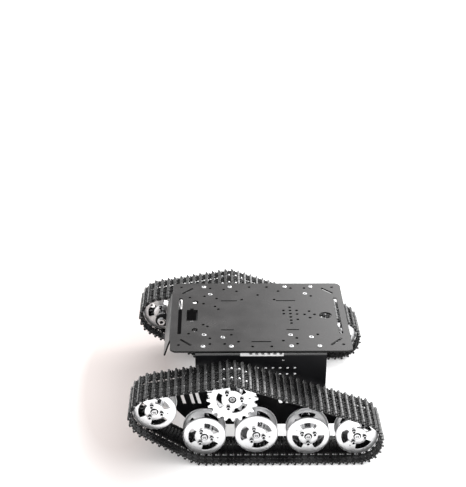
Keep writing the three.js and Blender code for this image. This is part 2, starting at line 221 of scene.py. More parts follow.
class Solid:
    """Closed bodies for one mesh, in millimetres. Faces carry a material number."""

    def __init__(self):
        self.points = []
        self.faces = []
        self.marks = []

    def add(self, points, faces, place=None, mark=0):
        """Adds points and faces, moved by a matrix."""
        start = len(self.points)
        self.points += [place @ Vector(p) if place else Vector(p) for p in points]
        self.faces += [[start + k for k in face] for face in faces]
        self.marks += [mark] * len(faces)
        return start

    def rings(self, rings, place=None, capped=True, wrapped=False, mark=0):
        """A skin over loops of one length, capped at both ends or joined end to start."""
        count = len(rings[0])
        points = [p for ring in rings for p in ring]
        faces = []
        for k in range(len(rings) - (0 if wrapped else 1)):
            low, high = k * count, ((k + 1) % len(rings)) * count
            faces += [(low + j, low + (j + 1) % count, high + (j + 1) % count, high + j)
                      for j in range(count)]
        if capped and not wrapped:
            last = (len(rings) - 1) * count
            faces += [tuple(reversed(range(count))), tuple(range(last, last + count))]
        self.add(points, faces, place, mark)
        return self

    def turned(self, profile, segments=48, place=None, hollow=False, capped=True, mark=0):
        """A body turned about Z from (radius, height) pairs."""
        loops = [lifted(circle(radius, segments=segments), height) for radius, height in profile]
        return self.rings(loops, place, capped=capped, wrapped=hollow, mark=mark)

    def plate(self, loops, low, high, bevel=0.0, open_outside=False, mark=0):
        """A flat plate of an outline and holes, between two heights."""
        wound = [loop if (area(loop) > 0) == (k == 0) else loop[::-1]
                 for k, loop in enumerate(loops)]
        caps = [], []
        for k, loop in enumerate(wound):
            is_open = open_outside and k == 0
            inner = moved_left(loop, bevel) if bevel and not is_open else loop
            levels = [(inner, low), (inner, high)]
            if bevel:
                levels[1:1] = [(loop, low + bevel), (loop, high - bevel)]
            skin = [lifted(ring, height) for ring, height in levels]
            if not is_open:
                self.rings(skin, capped=False, mark=mark)
            for cap, ring in zip(caps, (skin[0], skin[-1])):
                cap.append([Vector(p) for p in ring])
        for rings in caps:
            self.add([p for ring in rings for p in ring], tessellate_polygon(rings), mark=mark)

    def mesh(self, name, merge=0.002):
        """The mesh in metres, with outward faces."""
        made = bpy.data.meshes.new(name)
        body = bmesh.new()
        corners = [body.verts.new(p * MM) for p in self.points]
        for face, mark in zip(self.faces, self.marks):
            if len(set(face)) > 2:
                body.faces.new([corners[k] for k in face]).material_index = mark
        bmesh.ops.remove_doubles(body, verts=body.verts, dist=merge * MM)
        bmesh.ops.dissolve_degenerate(body, edges=body.edges, dist=merge * MM / 4)
        bmesh.ops.recalc_face_normals(body, faces=body.faces)
        body.to_mesh(made)
        body.free()
        return made


def new_object(name, data, place=None):
    """An object in the scene, its matrix given in millimetres."""
    made = bpy.data.objects.new(name, data)
    scene.collection.objects.link(made)
    if place is not None:
        matrix = place.copy()
        matrix.translation = place.translation * MM
        made.matrix_world = matrix
    return made


def with_modifiers(mesh, build):
    """The mesh after build(object) has put modifiers on it."""
    carrier = new_object("carrier", mesh)
    helpers = build(carrier)
    bpy.context.view_layer.update()
    evaluated = carrier.evaluated_get(bpy.context.evaluated_depsgraph_get())
    done = bpy.data.meshes.new_from_object(evaluated)
    for helper in [carrier, *helpers]:
        bpy.data.objects.remove(helper)
    return done


def combined(first, others, operation):
    """One mesh joined with, cut by or kept inside others."""
    group = bpy.data.collections.new("operands")
    scene.collection.children.link(group)

    def build(carrier):
        helpers = []
        for mesh in others:
            helper = bpy.data.objects.new("operand", mesh)
            group.objects.link(helper)
            helpers.append(helper)
        step = carrier.modifiers.new("combine", "BOOLEAN")
        step.operation = operation
        step.solver = "EXACT"
        step.operand_type = "COLLECTION"
        step.collection = group
        step.use_self = operation == "UNION"
        return helpers

    done = with_modifiers(first, build)
    bpy.data.collections.remove(group)
    return done


def bevelled(mesh, width):
    """The mesh with its sharp edges rounded."""
    def build(carrier):
        step = carrier.modifiers.new("edges", "BEVEL")
        step.width = width * MM
        step.segments = 2
        step.limit_method = "ANGLE"
        step.angle_limit = radians(40)
        step.miter_outer = "MITER_ARC"
        return []
    return with_modifiers(mesh, build)


def shaded(mesh, finishes, angle=32):
    """Sets materials by number, and smooth shading up to an angle."""
    marks = [polygon.material_index for polygon in mesh.polygons]
    mesh.materials.clear()
    for finish in finishes:
        mesh.materials.append(finish)
    for polygon, mark in zip(mesh.polygons, marks):
        polygon.use_smooth = True
        polygon.material_index = min(mark, len(finishes) - 1)
    mesh.set_sharp_from_angle(angle=radians(angle))
    return mesh


def flat_faced(mesh):
    """The mesh with normals that follow its large faces, as flat sheet has."""
    def build(carrier):
        carrier.modifiers.new("normals", "WEIGHTED_NORMAL").keep_sharp = True
        return []
    return with_modifiers(mesh, build)


def piece(name, mesh, finishes, body, replaced=(), place=None, angle=32,
          is_sheet=False):
    """A finished piece of the model, riding on a CAD body."""
    finished = shaded(mesh, finishes, angle)
    made = new_object(name, flat_faced(finished) if is_sheet else finished, place)
    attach(made, body)
    if replaced:
        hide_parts(*replaced)
    return made


def facing(side_out, x, y, z):
    """A frame at (x, y, z), its Z along +Y or -Y and its Y up."""
    return Matrix(((-side_out, 0, 0, x), (0, 0, side_out, y), (0, 1, 0, z), (0, 0, 0, 1)))


def turned_by(degrees):
    """A turn about local Z."""
    return Matrix.Rotation(radians(degrees), 4, "Z")


# ---- materials

def add_node(tree, kind, inputs=None, **settings):
    """A shader node, its inputs given as values or as sockets to link."""
    made = tree.nodes.new("ShaderNode" + kind)
    for key, value in settings.items():
        setattr(made, key, value)
    for key, value in (inputs or {}).items():
        if isinstance(value, bpy.types.NodeSocket):
            tree.links.new(value, made.inputs[key])
        else:
            made.inputs[key].default_value = value
    return made


def material(name, **sockets):
    """A Principled material with plain values on its own sockets."""
    made = bpy.data.materials.new(name)
    made.use_nodes = True
    shader = made.node_tree.nodes["Principled BSDF"]
    for key, value in sockets.items():
        shader.inputs[key.replace("_", " ")].default_value = value
    coordinates = add_node(made.node_tree, "TexCoord").outputs["Object"]
    return made, made.node_tree, shader, coordinates


def noise(tree, coordinates, scale, detail=3.0, roughness=0.55, distortion=0.0):
    """A noise pattern, its scale in waves per metre."""
    values = {"Vector": coordinates, "Scale": scale, "Detail": detail, "Roughness": roughness,
              "Distortion": distortion}
    return add_node(tree, "TexNoise", values).outputs["Fac"]


def remapped(tree, value, low, high, to_low, to_high):
    """A value stretched from one range to another."""
    values = {"Value": value, "From Min": low, "From Max": high, "To Min": to_low, "To Max": to_high}
    return add_node(tree, "MapRange", values, clamp=True).outputs["Result"]


def stretched(tree, coordinates, x, y, z):
    """Coordinates scaled along each axis."""
    return add_node(tree, "Mapping", {"Vector": coordinates, "Scale": (x, y, z)}).outputs[0]


def mixed(tree, share, first, second):
    """A mix of two colours, by the numbers of the node's sockets for colour."""
    share_socket, first_color, second_color, color_out = 0, 6, 7, 2
    inputs = {share_socket: share, first_color: first, second_color: second}
    return add_node(tree, "Mix", inputs, data_type="RGBA").outputs[color_out]


def calculated(tree, operation, first, second):
    """A sum or product of two values."""
    return add_node(tree, "Math", {0: first, 1: second}, operation=operation).outputs[0]


def bump(tree, shader, height, strength, distance):
    """Fine relief, its depth in millimetres, added to what is there."""
    values = {"Height": height, "Strength": strength, "Distance": distance * MM}
    if shader.inputs["Normal"].links:
        values["Normal"] = shader.inputs["Normal"].links[0].from_socket
    tree.links.new(add_node(tree, "Bump", values).outputs[0], shader.inputs["Normal"])


def patchy(name, colors, span, scale, roughness, spread, **sockets):
    """A material whose colour and roughness vary in soft patches."""
    made, tree, shader, place = material(name, **sockets)
    patches = noise(tree, place, scale, 4)
    base = mixed(tree, remapped(tree, patches, *span, 0, 1), *[(*color, 1) for color in colors])
    tree.links.new(base, shader.inputs["Base Color"])
    uneven = remapped(tree, patches, 0.3, 0.7, roughness - spread[0], roughness + spread[1])
    tree.links.new(uneven, shader.inputs["Roughness"])
    return made, tree, shader, place, base


def coated_sheet(name, color, dusty, roughness, specular):
    """Powder-coated sheet: orange peel, faint scuffs and dust."""
    made, tree, shader, place, base = patchy(name, (color, dusty), (0.42, 0.72), 26, roughness,
                                             (0.05, 0.08), Specular_IOR_Level=specular)
    scuffs = noise(tree, stretched(tree, place, 1.0, 0.12, 1.0), 420, 2, 0.6, 0.4)
    scuffed = (*[c * 2.2 + 0.01 for c in color], 1)
    base = mixed(tree, remapped(tree, scuffs, 0.66, 0.76, 0, 0.35), base, scuffed)
    tree.links.new(base, shader.inputs["Base Color"])
    bump(tree, shader, noise(tree, place, 1500, 2), 0.22, 0.05)
    return made


def bright_metal(name, color, darker, roughness, rings=0, is_brushed=False, relief=0.02, metallic=1):
    """Bare metal, turned in rings about local Z or brushed along X."""
    made, tree, shader, place, _ = patchy(name, (color, darker), (0.35, 0.75), 55, roughness,
                                          (0.04, 0.07), Metallic=metallic)
    if is_brushed:
        fine = noise(tree, stretched(tree, place, 60, 2600, 2600), 1.0, 3)
    elif not rings:
        fine = noise(tree, place, 1400, 3)
    else:
        values = {"Vector": place, "Scale": rings, "Distortion": 0.6, "Detail": 2.0,
                  "Detail Scale": 1.5}
        wave = add_node(tree, "TexWave", values, wave_type="RINGS", rings_direction="Z")
        fine = wave.outputs["Fac"]
    bump(tree, shader, fine, 0.18, relief)
    return made


def moulded_plastic(name, color, dusty, roughness, specular):
    """Black moulded nylon: spark texture, uneven sheen and dust."""
    made, tree, shader, place, _ = patchy(name, (color, dusty), (0.45, 0.75), 90, roughness,
                                          (0.07, 0.1), Specular_IOR_Level=specular)
    bump(tree, shader, noise(tree, place, 2600, 2), 0.3, 0.04)
    bump(tree, shader, noise(tree, place, 600, 2), 0.15, 0.1)
    return made


deck_coat = coated_sheet("deck_coat", (0.018, 0.0168, 0.0168), (0.027, 0.0252, 0.0252), 0.2, 0.3)
# A darker copy of the deck's coat for its edges and the walls of its holes: painted shade.
deck_edge_painted_shade = coated_sheet("deck_edge_painted_shade", (0.006, 0.006, 0.006), (0.012, 0.012, 0.012), 0.4, 0.15)
# A slightly darker, duller copy of the deck's coat for the lip: painted shade.
lip_painted_shade = coated_sheet("lip_painted_shade", (0.016, 0.015, 0.015), (0.024, 0.023, 0.023), 0.34, 0.18)
# A lighter, glossier copy of the hull's coat along its top bend: a painted highlight.
bend_painted_highlight = coated_sheet("bend_painted_highlight", (0.012, 0.012, 0.0125), (0.02, 0.02, 0.02), 0.24, 1.0)
hull_coat = coated_sheet("hull_coat", (0.004, 0.004, 0.0048), (0.006, 0.006, 0.007), 0.4, 0.14)
black_anodised = coated_sheet("black_anodised", (0.01, 0.01, 0.01), (0.016, 0.016, 0.016), 0.3, 0.5)
turned_aluminium = bright_metal("turned_aluminium", (0.9, 0.9, 0.905), (0.84, 0.84, 0.85), 0.33,
                                rings=700, relief=0.012, metallic=0.94)
milled_aluminium = bright_metal("milled_aluminium", (0.9, 0.9, 0.91), (0.82, 0.82, 0.83), 0.24)
bright_steel = bright_metal("bright_steel", (0.74, 0.74, 0.75), (0.62, 0.62, 0.63), 0.2)
# Darker steel for the track pins and the shaft's end; also painted shade on the sides of the gearbox's
# screw heads.
dark_steel_and_painted_shade = bright_metal("dark_steel_and_painted_shade", (0.30, 0.30, 0.30), (0.2, 0.2, 0.2), 0.38)
zinc_can = bright_metal("zinc_can", (0.56, 0.56, 0.57), (0.46, 0.46, 0.48), 0.3, is_brushed=True)
brass_case = bright_metal("brass_case", (0.72, 0.6, 0.34), (0.6, 0.49, 0.27), 0.28, is_brushed=True)
link_plastic = moulded_plastic("link_plastic", (0.005, 0.005, 0.0055), (0.011, 0.0108, 0.0105),
                               0.34, 0.22)
# Lighter, glossier plastic for the fins' crests and the studs: partly wear, partly painted highlight.
rubbed_and_highlit_plastic = moulded_plastic("rubbed_and_highlit_plastic", (0.02, 0.02, 0.0205), (0.045, 0.0445, 0.044),
                                 0.24, 0.5)
# Much lighter plastic for the backs of the fins and of the rear blocks: a painted highlight.
back_painted_highlight = moulded_plastic("back_painted_highlight", (0.26, 0.26, 0.26), (0.38, 0.378, 0.375),
                                  0.3, 0.6)
# Near-black for screw sockets, bores, gaps and slots: painted shade.
recess_painted_shade = coated_sheet("recess_painted_shade", (0.004, 0.004, 0.004), (0.008, 0.008, 0.008), 0.6, 0.1)
# Near-black for the sides of screw heads: painted shade.
screw_side_painted_shade = coated_sheet("screw_side_painted_shade", (0.008, 0.008, 0.008), (0.014, 0.014, 0.014), 0.4, 0.2)
pale_strip = coated_sheet("pale_strip", (0.86, 0.86, 0.86), (0.8, 0.8, 0.8), 0.4, 0.5)
screw_finishes = [bright_steel, recess_painted_shade, screw_side_painted_shade]


# ---- track path

# The track wraps four wheels, in the order that it runs: over the sprocket, down to the front
# idler, back along the ground and up to the rear idler.
WRAPPED = ("right_rear_idler", "right_sprocket", "right_front_idler", "right_road_wheel_1")


def path_pieces(radius):
    """Straight runs and arcs of the loop at a distance from the wrapped centres."""
    centres = [joint_at[body].xz for body in WRAPPED]
    runs = [end - start for start, end in zip(centres, centres[1:] + centres[:1])]
    headings = [atan2(run.y, run.x) for run in runs]
    next_headings = headings[1:] + headings[:1]
    pieces = []
    for start, along, heading, next_heading in zip(centres, runs, headings, next_headings):
        turn = (heading - next_heading) % (2 * pi)
        pieces.append({"start": start, "along": along, "heading": heading, "length": along.length})
        pieces.append({"centre": start + along, "heading": heading, "length": turn * radius})
    return pieces


PATH = path_pieces(PIN_RADIUS)
PITCH = sum(part["length"] for part in PATH) / LINKS


def path_point(distance):
    """The point of the pins' path at a distance along the loop."""
    left = distance % (LINKS * PITCH)
    for part in PATH:
        if left <= part["length"]:
            break
        left -= part["length"]
    if "centre" in part:
        angle = part["heading"] + pi / 2 - left / PIN_RADIUS
        return part["centre"] + Vector((cos(angle), sin(angle))) * PIN_RADIUS
    outward = Vector((-sin(part["heading"]), cos(part["heading"])))
    return part["start"] + part["along"].normalized() * left + outward * PIN_RADIUS


# A tooth stands midway between two fins where the track meets the sprocket
MEETING = PATH[0]["length"]
FIRST_GAP = ceil(MEETING / PITCH) * PITCH - MEETING
FIRST_TOOTH = PATH[0]["heading"] + pi / 2 - FIRST_GAP / PIN_RADIUS


# ---- track links

def across(profile, low, high, bevel=0.0):
    """A solid of an (X, Z) profile between two places along Y."""
    made = Solid()
    made.plate([[Vector(p) for p in profile]], low, high, bevel)
    made.points = [p.xzy for p in made.points]
    return made


def link_mesh():
    """One link: X along, Y across, Z out from the inner face."""
    half = PITCH / 2
    pin_out = PIN_DEPTH - 0.1
    parts = []
    for start, end, knuckle_end in KNUCKLES:
        low, high = sorted((start, end))
        shapes = [(low, high)] if start == -end else [(low, high), (-high, -low)]
        arch = arc(half, pin_out, KNUCKLE_RADIUS, -pi / 2, pi / 2, 8)
        outline = [(1.2, pin_out - KNUCKLE_RADIUS), *arch, (2.9, 2.2), (1.9, 1.3)]
        profile = [(knuckle_end * a, o) for a, o in outline]
        for from_w, to_w in shapes:
            parts.append(across(profile, from_w + KNUCKLE_GAP, to_w - KNUCKLE_GAP, 0.14))

    body = [(-PLATE_HALF, 0.25), (PLATE_HALF, 0.25), (PLATE_HALF, 1.2), (2.3, 1.45), (-2.3, 1.45),
            (-PLATE_HALF, 1.2)]
    low_slot, high_slot = SLOT_EDGES
    spans = ((-TRACK_HALF, -high_slot), (-low_slot, low_slot), (high_slot, TRACK_HALF))
    plates = [across(body, low, high, 0.12) for low, high in spans]

    fin = [(1.4, 1.2), (2.5, 1.2), (2.5, 1.9), (2.95, 3.2), (4.4, 3.2), (4.4, 4.3), (4.2, 4.5),
           (2.2, 4.5), (1.95, 4.3), (1.75, 2.8)]
    half_groove = FIN_GROOVE_WIDTH / 2
    groove_sides = [groove + side * half_groove for groove in FIN_GROOVES for side in (-1, 1)]
    ends = (-TRACK_HALF, *groove_sides, TRACK_HALF)
    parts += [across(fin, low, high, 0.15) for low, high in zip(ends[::2], ends[1::2])]

    # Two staggered rows of small blocks between the fins
    for start, end, middles, half_width in PAD_ROWS:
        block = [(start, 1.2), (end, 1.2), (end - 0.15, 2.6), (end - 0.4, 2.8), (start + 0.4, 2.8),
                 (start + 0.15, 2.6)]
        for middle in sorted({side * m for m in middles for side in (-1, 1)}):
            parts.append(across(block, middle - half_width, middle + half_width, 0.12))

    # Low studs on the inner face, outside the wheels
    for row, stud_half in STUD_ROWS:
        for middle in (-row, row):
            for start in (-2.3, 0.9):
                stud = [(start, 0.8), (start + 1.4, 0.8), (start + 1.3, -0.12), (start + 1.1, -0.2),
                        (start + 0.3, -0.2), (start + 0.1, -0.12)]
                parts.append(across(stud, middle - stud_half, middle + stud_half, 0.1))

    for tip in (-2.1, 2.1):
        horn = Solid()
        levels = ((0.6, 1.95, 2.7), (-3.0, 1.85, 2.5), (-7.6, 1.35, 1.8),
                  (-HORN_HEIGHT + 0.7, 0.75, 1.05), (-HORN_HEIGHT, 0.35, 0.55))
        horn.rings([[(tip + a * length, w * width, out) for a, w in ((-1, -1), (1, -1), (1, 1), (-1, 1))]
                    for out, length, width in levels])
        parts.append(horn)

    whole = plates[0].mesh("link")
    others = [solid.mesh("part") for solid in plates[1:] + parts]
    return combined(whole, others, "UNION")


def wear_and_painted_highlight(polygon):
    """How a face of a link is finished: 0 as moulded; 1 lighter and glossier, on the fin's crest and the
    studs, partly wear and partly painted highlight; or 2 much lighter, on the backs of the fin and of
    the rear row of blocks, a painted highlight."""
    along, out = polygon.center.x / MM, polygon.center.z / MM
    faces_back = polygon.normal.x < -0.7
    is_fin = out > 1.9 and 1.3 < along < 2.4
    is_rear_block = out > 1.6 and -2.6 < along < -1.9
    if faces_back and (is_fin or is_rear_block):
        return 2
    is_stud = -0.3 < out < 0.2 and abs(polygon.center.y) / MM > SLOT_EDGES[1] + 2
    return 1 if is_stud or out > FIN_FROM else 0


def track_piece(hand, side, link):
    """All links of one track, laid along its path, with their hinge pins."""
    links, pins = Solid(), Solid()
    link_points = [v.co / MM for v in link.vertices]
    link_faces = [[tuple(p.vertices) for p in link.polygons if wear_and_painted_highlight(p) == level] for level in range(3)]
    centre_y = side * abs(joint_at["right_sprocket"].y)
    first = PITCH / 2 + PIN_AHEAD_OF_FIN
    for k in range(LINKS):
        rear, front = path_point(first + (k - 1) * PITCH), path_point(first + k * PITCH)
        along = (front - rear).normalized()
        outward = Vector((-along.y, along.x))
        middle = (rear + front) / 2 - outward * (PIN_DEPTH - 0.1)
        place = Matrix(((along.x, 0, outward.x, middle.x), (0, 1, 0, centre_y),
                        (along.y, 0, outward.y, middle.y), (0, 0, 0, 1)))
        start = links.add(link_points, link_faces[0], place)
        for level in (1, 2):
            links.faces += [[start + corner for corner in face] for face in link_faces[level]]
            links.marks += [level] * len(link_faces[level])
        half = TRACK_HALF + 0.25
        pin = ((0.5, -half), (0.85, -half + 0.3), (0.85, half - 0.3), (0.5, half))
        pins.turned(pin, 10, facing(1, front.x, centre_y, front.y))
    # The second finish, on crests and studs, is partly wear and partly painted highlight; the third, on
    # the backs of fins and blocks, is painted highlight.
    piece(f"{hand}_track_links", links.mesh(f"{hand}_track_links", 0.0005),
          [link_plastic, rubbed_and_highlit_plastic, back_painted_highlight], "root",
          [f"{hand}_track"], angle=38)
    piece(f"{hand}_track_pins", pins.mesh(f"{hand}_track_pins"), [dark_steel_and_painted_shade], "root")


# ---- screws and nuts

def screw_head(solid, place, shape, socket, floor_z, sides=24, side_shade_mark=0):
    """A turned screw head on local Z 0, with a hexagon socket in its top; the socket is painted dark as
    shade, and the head's side can take its own dark finish.
    """
    loops = [lifted(circle(radius, segments=sides), height) for radius, height in shape]
    solid.rings(loops[:2], place, capped=False, mark=side_shade_mark)
    solid.rings(loops[1:], place, capped=False)
    solid.add(loops[0], [tuple(range(sides))], place)
    height = shape[-1][1]
    mouth = hexagon(socket)
    top = [Vector(p) for p in loops[-1]]
    opening = [Vector(p) for p in reversed(lifted(mouth, height))]
    solid.add(top + opening, tessellate_polygon([top, opening]), place)
    solid.rings([lifted(mouth, height), lifted(mouth, floor_z)], place, capped=False, mark=1)
    solid.add(lifted(mouth, floor_z), [tuple(range(6))], place, mark=1)


def cap_screw(solid, place, radius=2.3, height=3.2, socket=2.9):
    """A cap-head screw, the side of its head painted dark as shade."""
    shape = ((radius, 0), (radius, height - 0.35), (radius * 0.94, height - 0.1),
             (radius * 0.86, height))
    screw_head(solid, place, shape, socket, height * 0.3, side_shade_mark=2)


def button_screw(solid, place):
    """A button-head screw."""
    dome = ((1, 0), (1, 0.25), (0.93, 0.8), (0.78, 1.25), (0.6, 1.5), (0.52, 1.65))
    screw_head(solid, place, [(2.85 * share, height) for share, height in dome], 2.0, 0.5, sides=28)


def hex_body(solid, across_flats, low, high, bore=None):
    """A hexagon nut or bolt head with chamfered edges."""
    loops = [hexagon(across_flats), circle(bore)] if bore else [hexagon(across_flats)]
    solid.plate(loops, low, high, 0.3)


# ---- wheels

def arc_window(angle, inner_radius, outer_radius, half_angle):
    """A curved window with rounded corners."""
    inner = arc(0, 0, inner_radius, angle + half_angle, angle - half_angle, 8)
    outer = arc(0, 0, outer_radius, angle - half_angle, angle + half_angle, 10)
    marked = [(p.x, p.y, k in (0, len(part) - 1)) for part in (outer, inner) for k, p in enumerate(part)]
    return rounded(marked, WINDOW_CORNER)


def disc_holes(hole_at, hole, bore, inner, outer=WINDOW_OUTER, half_angle=WINDOW_HALF_ANGLE):
    """Windows, bore and small hole of a disc, its first spoke along +X."""
    windows = [arc_window(radians(60 + 120 * k), inner, outer, half_angle) for k in range(3)]
    return [*windows, circle(bore, segments=32), circle(hole, hole_at, 0, 16)]


def wheel_disc_mesh():
    """A dished disc: a pierced web, a boss in its middle, and a rolled rim."""
    made = Solid()
    holes = disc_holes(SMALL_HOLE_AT, SMALL_HOLE, BORE, WINDOW_INNER)
    made.plate([circle(WEB_RADIUS, segments=96), *holes], -DISC_PLATE, 0, 0.18, open_outside=True)
    rim = ((WEB_RADIUS, 0), (20.6, -0.03), (21.8, -0.1), (22.9, -0.24), (23.7, -0.48), (24.3, -0.9),
           (24.68, -1.55), (WHEEL_RADIUS, -2.3), (24.65, -DISC_DEPTH), (24.0, -DISC_DEPTH),
           (23.7, -2.6), (23.3, -2.2), (22.4, -1.85), (21.0, -1.66), (WEB_RADIUS, -DISC_PLATE))
    made.turned(rim, 96, capped=False)
    boss = ((BOSS_BORE, -0.4), (BOSS_BORE, BOSS_HEIGHT - 0.1), (BOSS_BORE + 0.15, BOSS_HEIGHT),
            (BOSS_RADIUS - 0.35, BOSS_HEIGHT), (BOSS_RADIUS - 0.05, BOSS_HEIGHT - 0.15),
            (BOSS_RADIUS, -0.4))
    made.turned(boss, 72, hollow=True)
    return made.mesh("wheel_disc")


def sprocket_disc_mesh(phase, is_inner):
    """A toothed disc about its middle plane, its first tooth at the phase."""
    points = []
    steps = TEETH * 14
    middle, reach = (TOOTH_TIP + TOOTH_ROOT) / 2, (TOOTH_TIP - TOOTH_ROOT) / 2
    for k in range(steps):
        angle = 2 * pi * k / steps
        wave = TOOTH_STEEPNESS * cos(TEETH * (angle - phase)) - 0.25
        radius = middle + reach * (tanh(wave) / tanh(TOOTH_STEEPNESS))
        points.append(Vector((cos(angle), sin(angle))) * radius)
    half = SPROCKET_PLATE / 2
    made = Solid()
    window = SPROCKET_INNER_WINDOW if is_inner else ()
    holes = disc_holes(SPROCKET_HOLE_AT, SPROCKET_HOLE, SPROCKET_BORE, SPROCKET_BOSS + 0.2, *window)
    made.plate([points, *holes], -half, half, 0.22)
    bore, top, foot = SPROCKET_BORE + 0.1, half + BOSS_HEIGHT, half - 0.4
    made.turned(((bore, foot), (bore, top), (SPROCKET_BOSS - 0.35, top), (SPROCKET_BOSS, top - 0.3),
                 (SPROCKET_BOSS, foot)), 72, hollow=True)
    return made.mesh("sprocket_disc")


def disc_screws_mesh(degrees, standing, circle_radius=SCREW_CIRCLE, height=3.2):
    """Three cap screws on the boss."""
    made = Solid()
    for k in range(3):
        place = turned_by(degrees + 120 * k) @ Matrix.Translation((circle_radius, 0, standing))
        cap_screw(made, place @ turned_by(20 * k), height=height)
    return made.mesh("disc_screws")


def hub_mesh(length):
    """The waisted hub between two discs."""
    half = length / 2
    outer = ((BORE + 0.1, -half), (HUB_RADIUS - 0.3, -half), (HUB_RADIUS, -half + 0.3),
             (HUB_RADIUS, -half + 1.8), (HUB_RADIUS - 0.4, -half + 2.1), (8.9, -half + 2.6),
             (8.6, -half + 3.4))
    profile = [*outer, *[(r, -z) for r, z in reversed(outer)]]
    return Solid().turned(profile, 56, hollow=True).mesh("hub")


def axle_mesh():
    """A fixed axle along Z, from the track's middle plane."""
    wall = WALL_OFFSET
    inner_end, tip = -DISC_FACE - GAP, DISC_FACE + BOSS_HEIGHT
    made = Solid()
    inner_nut = wall - SHEET - GAP
    made.turned(chamfered(5.1, inner_nut - 1.0, inner_nut), 36)
    hex_body(made, 8.4, inner_nut - 4.6, inner_nut - 1.2, 2.1)
    # A dark plug inside the inner nut's bore: painted shade.
    made.plate([circle(2.05, segments=24)], inner_nut - 3.6, inner_nut - 1.4, 0.0, mark=1)
    made.turned(((4.9, wall + GAP), (5.2, wall + GAP + 0.15), (5.2, wall + 1.2), (4.9, wall + 1.35)),
                36)
    hex_body(made, 8.6, wall + 1.35, wall + 4.6)
    made.turned(((2.9, wall - SHEET - 1), (2.9, tip + 0.2)), 28)
    rings = ((4.9, wall + 9.3, wall + 11.2), (4.3, wall + 14.6, wall + 16.0),
             (5.0, inner_end - 1.0, inner_end))
    for ring in rings:
        made.turned(chamfered(*ring), 36)
    nut = ((1.95, tip - 0.3), (3.2, tip - 0.3), (3.4, tip - 0.1), (3.4, tip + 0.95),
           (3.1, tip + 1.3), (2.1, tip + 1.3), (1.95, tip + 1.15))
    made.turned(nut, 36, hollow=True)
    # Dark inside the nut's bore, a dark ring under the nut and a dark slot in the screw's end: painted
    # shade.
    made.turned(((1.96, tip - 0.2), (1.96, tip + 0.6)), 28, mark=1)
    low, high = tip - 0.42, tip - 0.2
    made.turned(((3.42, low), (4.45, low), (4.45, high), (3.42, high)), 36, hollow=True, mark=1)
    made.plate([circle(1.6, segments=28)], tip + 0.5, tip + 1.0, 0.15)
    made.plate([rectangle(0, 0, 2.4, 0.9)], tip + 0.98, tip + 1.06, 0.0, mark=1)
    return made.mesh("axle")


def spacers_mesh():
    """The dark spacers on an axle, from the hull to the inner disc."""
    wall = WALL_OFFSET
    made = Solid()
    for low, high in ((wall + 4.65, wall + 9.25), (wall + 11.25, wall + 14.55),
                      (wall + 16.05, -DISC_FACE - GAP - 1.05)):
        made.turned(chamfered(4.6, low, high, bore=3.05), 32, hollow=True)
    return made.mesh("spacers")


def wheel(hand, side, wheel_name, disc):
    """A wheel's discs, screws and hub, which turn, and its fixed axle."""
    body = f"{hand}_{wheel_name}"
    centre = joint_at[body]
    turn = WHEEL_TURN[hand][WHEELS.index(wheel_name)]
    for part, out, degrees in (("outer", side, turn), ("inner", -side, 180 - turn)):
        place = facing(out, centre.x, centre.y + out * DISC_FACE, centre.z)
        dish = disc.copy()
        dish.transform(turned_by(degrees))
        piece(f"{body}_{part}_dish", dish, [turned_aluminium], body,
              [f"{body}_{part}_disc"], place)
        piece(f"{body}_{part}_screws", disc_screws_mesh(degrees, BOSS_HEIGHT), screw_finishes, body,
              (), place)
    middle = facing(side, *centre)
    hub = hub_mesh(2 * (DISC_FACE - DISC_PLATE))
    piece(f"{body}_hub_sleeve", hub, [milled_aluminium], body, [f"{body}_hub"], middle)
    piece(f"{body}_bolt", axle_mesh(), [bright_steel, recess_painted_shade], "root", [f"{body}_axle"],
          middle)
    piece(f"{body}_spacers", spacers_mesh(), [black_anodised], "root", (), middle)


def shaft_mesh():
    """The gearbox's shaft and its coupling, along Z."""
    wall = WALL_OFFSET
    shaft_end = SPROCKET_FACE - 0.1
    made = Solid()
    made.turned(((SHAFT_RADIUS - 0.1, wall - 2.2), (SHAFT_RADIUS, wall - 2),
                 (SHAFT_RADIUS, shaft_end - 0.3), (SHAFT_RADIUS - 0.3, shaft_end)), 32)
    made.turned(((2.5, shaft_end - 0.2), (2.5, shaft_end + 0.02)), 32, mark=2)
    # A dark dot in the middle of the shaft's end, and a dark ring over the gap between shaft and bore:
    # painted shade.
    made.turned(((0.7, shaft_end - 0.2), (0.7, shaft_end + 0.05)), 16, mark=1)
    bore, throat, throat_wall = SHAFT_RADIUS + 0.05, shaft_end - 0.3, SPROCKET_BORE - 0.1
    made.turned(((bore, throat - 0.3), (throat_wall, throat - 0.3), (throat_wall, throat),
                 (bore, throat)), 32, hollow=True, mark=1)
    made.turned(chamfered(5.3, wall + 1.4, wall + 12.3, 0.3, bore), 36, hollow=True)
    collar_end = -SPROCKET_FACE - 0.4
    collar = ((bore, wall + 12.6), (4.6, wall + 12.6), (4.8, wall + 12.8), (4.8, collar_end),
              (bore, collar_end))
    made.turned(collar, 36, hollow=True)
    return made.mesh("shaft")


